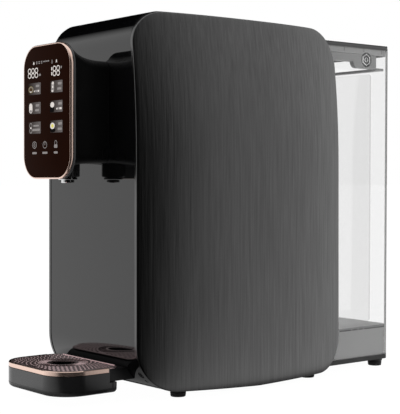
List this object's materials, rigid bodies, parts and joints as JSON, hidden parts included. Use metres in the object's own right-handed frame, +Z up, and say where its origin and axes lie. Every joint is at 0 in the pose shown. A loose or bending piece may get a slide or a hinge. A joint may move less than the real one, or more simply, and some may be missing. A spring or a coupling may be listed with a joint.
{
  "type": "instant hot water dispenser",
  "caption": "Countertop instant hot water dispenser with touch head, drip tray, bowed side panels and clear lift-off rear tank.",
  "frame": {"origin": "middle of the footprint, in the plane that the feet stand on", "axes": "-Y out of the front with the touch head and drip tray, +Y towards the clear tank, +X to the right of someone facing the front, +Z up"},
  "size_m": [0.2018, 0.4682, 0.4],
  "materials": {
    "gloss_black": "gloss",
    "brushed_graphite": "fine vertical brushing",
    "black_plastic": "satin",
    "rubber": "matt",
    "grey_plastic": "satin",
    "white_plastic": "satin",
    "clear_plastic": "clear moulded plastic",
    "hose": "smooth silicone",
    "touch_glass": "dark brown back-printed glass",
    "rose_gold": "polished rose gold plating",
    "bronze_plate": "brushed bronze plating",
    "chrome": "polished",
    "steel": "satin",
    "brass": "satin",
    "circuit_board": "satin"
  },
  "bodies": {
    "housing": {"base_pan": "black_plastic", "bezel_ring": "rose_gold", "cord_gland": "rubber", "delivery_pump": "grey_plastic", "display_board": "circuit_board", "drain_screw": "steel", "filter_manifold": "grey_plastic", "foot_front_left": "rubber", "foot_front_right": "rubber", "foot_middle_left": "rubber", "foot_middle_right": "rubber", "foot_rear_left": "rubber", "foot_rear_right": "rubber", "front_panel": "gloss_black", "hatch_pin": "steel", "head_back": "black_plastic", "heater_clamp": "black_plastic", "hose_box_to_delivery": "hose", "hose_delivery_to_heater": "hose", "hose_heater_to_tap": "hose", "hose_pump_to_filter": "hose", "hose_tank_to_pump": "hose", "inner_frame": "black_plastic", "instant_heater": "steel", "neck_housing": "gloss_black", "nozzle": "chrome", "power_board": "circuit_board", "pump_cradle": "black_plastic", "pump_head": "black_plastic", "pump_motor": "steel", "pure_water_box": "white_plastic", "rear_wall": "black_plastic", "side_panel_left": "brushed_graphite", "side_panel_right": "brushed_graphite", "tank_pedestal": "grey_plastic", "tap_block": "black_plastic", "top_cover": "gloss_black", "touch_glass": "touch_glass", "tray_bracket": "black_plastic", "water_seat": "black_plastic"},
    "tank": {"tank_shell": "clear_plastic", "tank_collar": "grey_plastic", "return_block": "grey_plastic", "return_fitting": "black_plastic", "tank_frame": "grey_plastic", "outlet_valve": "black_plastic", "outlet_seal": "rubber", "outlet_spring": "steel", "lid_pin": "steel"},
    "lid": {"tank_lid": "black_plastic"},
    "poppet": {"outlet_poppet": "steel"},
    "tray": {"tray_body": "black_plastic", "tray_trim": "rose_gold"},
    "grille": {"tray_grille": "bronze_plate"},
    "hatch": {"filter_hatch": "gloss_black"},
    "cartridge_left": {"filter_cartridge_left": "white_plastic"},
    "cartridge_right": {"filter_cartridge_right": "white_plastic"},
    "pump_rotor": {"pump_shaft": "brass"},
    "plug": {"drain_plug": "rubber"}
  },
  "joints": [
    {"name": "tank_lift", "type": "slide", "parent": "housing", "child": "tank", "axis": [0, 0, 1], "range_m": [0, 0.06]},
    {"name": "lid_hinge", "type": "hinge", "parent": "tank", "child": "lid", "pos_m": [0, 0.10865, 0.38615], "axis": [1, 0, 0], "range_deg": [0, 85]},
    {"name": "poppet_slide", "type": "slide", "parent": "tank", "child": "poppet", "axis": [0, 0, -1], "range_m": [0, 0.003], "deforming": ["outlet_spring"]},
    {"name": "tray_slide", "type": "slide", "parent": "housing", "child": "tray", "axis": [0, -1, 0], "range_m": [0, 0.08]},
    {"name": "grille_lift", "type": "slide", "parent": "tray", "child": "grille", "axis": [0, 0, 1], "range_m": [0, 0.03]},
    {"name": "hatch_hinge", "type": "hinge", "parent": "housing", "child": "hatch", "pos_m": [0, 0.0489, 0.3975], "axis": [-1, 0, 0], "range_deg": [0, 95]},
    {"name": "cartridge_left_twist", "type": "hinge", "parent": "housing", "child": "cartridge_left", "pos_m": [-0.033, -0.0311, 0.1483], "axis": [0, 0, 1], "range_deg": [0, 90]},
    {"name": "cartridge_right_twist", "type": "hinge", "parent": "housing", "child": "cartridge_right", "pos_m": [0.033, -0.0311, 0.1483], "axis": [0, 0, 1], "range_deg": [0, 90]},
    {"name": "pump_spin", "type": "hinge", "parent": "housing", "child": "pump_rotor", "pos_m": [-0.038, -0.0158, 0.055], "axis": [0, 1, 0], "continuous": true},
    {"name": "drain_plug_pull", "type": "slide", "parent": "housing", "child": "plug", "axis": [0, -0.7804, -0.6252], "range_m": [0, 0.008]}
  ],
  "couplings": [
    {"joint": "poppet_slide", "follows": "tank_lift", "ratio": 0.05}
  ]
}
